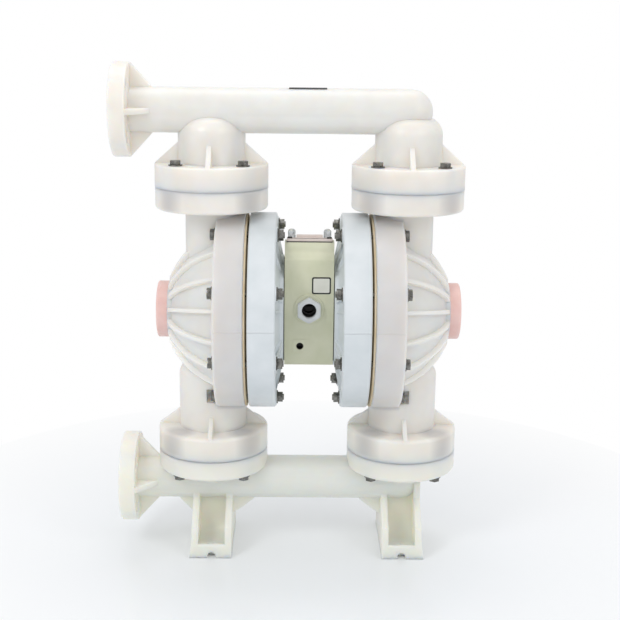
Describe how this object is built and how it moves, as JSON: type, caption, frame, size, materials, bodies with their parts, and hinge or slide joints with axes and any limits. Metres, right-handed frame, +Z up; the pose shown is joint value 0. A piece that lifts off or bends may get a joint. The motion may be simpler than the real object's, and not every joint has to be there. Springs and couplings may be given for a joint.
{
  "type": "air operated double diaphragm pump",
  "caption": "Upright double diaphragm pump with milky plastic liquid ends, flanged inlet and outlet on one side, and a compressed air centre section.",
  "frame": {"origin": "on the floor, midway between the two feet and on the pump's fore-and-aft middle plane", "axes": "+X towards the closed ends of the pipes, away from the flanges; +Y to the rear, from the air inlet to the silencer; +Z up"},
  "size_m": [0.572, 0.326, 0.8212],
  "materials": {
    "natural_pp": "moulded natural polypropylene, milky",
    "pink_plastic": "moulded pink plastic",
    "painted_alloy": "light grey painted casting",
    "gasket_rubber": "flat sheet",
    "stainless": "plain fastener",
    "diaphragm_rubber": "moulded elastomer, tan",
    "plate_metal": "cast",
    "white_plastic": "moulded white plastic",
    "seal_rubber": "black elastomer",
    "ball_plastic": "turned PTFE",
    "block_plastic": "moulded pale green-cream plastic",
    "bushing_plastic": "moulded grey-white plastic",
    "polished_steel": "ground shaft",
    "silencer_plastic": "grey moulded plastic",
    "cover_plastic": "moulded plate",
    "dark_screw": "dark screw",
    "clear_plastic": "clear moulded cap"
  },
  "bodies": {
    "pump": {"outlet_manifold": "natural_pp", "inlet_manifold": "natural_pp", "left_fluid_cap": "natural_pp", "left_cap_plug": "pink_plastic", "left_air_cap": "painted_alloy", "left_block_gasket": "gasket_rubber", "left_air_cap_screws": "stainless", "left_diaphragm": "diaphragm_rubber", "left_outlet_seat": "white_plastic", "left_inlet_seat": "white_plastic", "left_outlet_o_ring": "seal_rubber", "left_inlet_o_ring": "seal_rubber", "left_rim_bolts": "stainless", "left_rim_nuts": "stainless", "right_fluid_cap": "natural_pp", "right_cap_plug": "pink_plastic", "right_air_cap": "painted_alloy", "right_block_gasket": "gasket_rubber", "right_air_cap_screws": "stainless", "right_diaphragm": "diaphragm_rubber", "right_outlet_seat": "white_plastic", "right_inlet_seat": "white_plastic", "right_outlet_o_ring": "seal_rubber", "right_inlet_o_ring": "seal_rubber", "right_rim_bolts": "stainless", "right_rim_nuts": "stainless", "center_block": "block_plastic", "air_inlet_bushing": "bushing_plastic", "rod_bushings": "white_plastic", "rod_seals": "seal_rubber", "pilot_bushings": "white_plastic", "air_valve_gasket": "gasket_rubber", "air_valve_body": "block_plastic", "air_valve_end_caps": "block_plastic", "air_valve_screws": "stainless", "exhaust_silencer": "silencer_plastic", "top_gasket": "gasket_rubber", "top_cover": "cover_plastic", "top_cover_screws": "dark_screw", "top_caps": "clear_plastic", "rim_washers": "stainless", "outlet_joint_bolts": "stainless", "inlet_joint_bolts": "stainless", "joint_washers": "stainless", "joint_inserts": "stainless"},
    "rod": {"left_inner_plate": "plate_metal", "left_outer_plate": "white_plastic", "left_rod_nut": "stainless", "right_inner_plate": "plate_metal", "right_outer_plate": "white_plastic", "right_rod_nut": "stainless", "diaphragm_rod": "polished_steel"},
    "pilot": {"pilot_rod": "polished_steel"},
    "spool": {"air_valve_spool": "polished_steel"},
    "left_outlet_ball": {"left_outlet_ball": "ball_plastic"},
    "left_inlet_ball": {"left_inlet_ball": "ball_plastic"},
    "right_outlet_ball": {"right_outlet_ball": "ball_plastic"},
    "right_inlet_ball": {"right_inlet_ball": "ball_plastic"}
  },
  "joints": [
    {"name": "rod_slide", "type": "slide", "parent": "pump", "child": "rod", "axis": [1, 0, 0], "range_m": [-0.018, 0.018], "deforming": ["left_diaphragm", "right_diaphragm"]},
    {"name": "pilot_slide", "type": "slide", "parent": "pump", "child": "pilot", "axis": [1, 0, 0], "range_m": [-0.006, 0.006]},
    {"name": "spool_slide", "type": "slide", "parent": "pump", "child": "spool", "axis": [1, 0, 0], "range_m": [-0.006, 0.006]},
    {"name": "left_outlet_ball_lift", "type": "slide", "parent": "pump", "child": "left_outlet_ball", "axis": [0, 0, 1], "range_m": [0, 0.016]},
    {"name": "left_inlet_ball_lift", "type": "slide", "parent": "pump", "child": "left_inlet_ball", "axis": [0, 0, 1], "range_m": [0, 0.016]},
    {"name": "right_outlet_ball_lift", "type": "slide", "parent": "pump", "child": "right_outlet_ball", "axis": [0, 0, 1], "range_m": [0, 0.016]},
    {"name": "right_inlet_ball_lift", "type": "slide", "parent": "pump", "child": "right_inlet_ball", "axis": [0, 0, 1], "range_m": [0, 0.016]}
  ],
  "couplings": [
    {"joint": "pilot_slide", "follows": "rod_slide", "ratio": 0.33333}
  ]
}
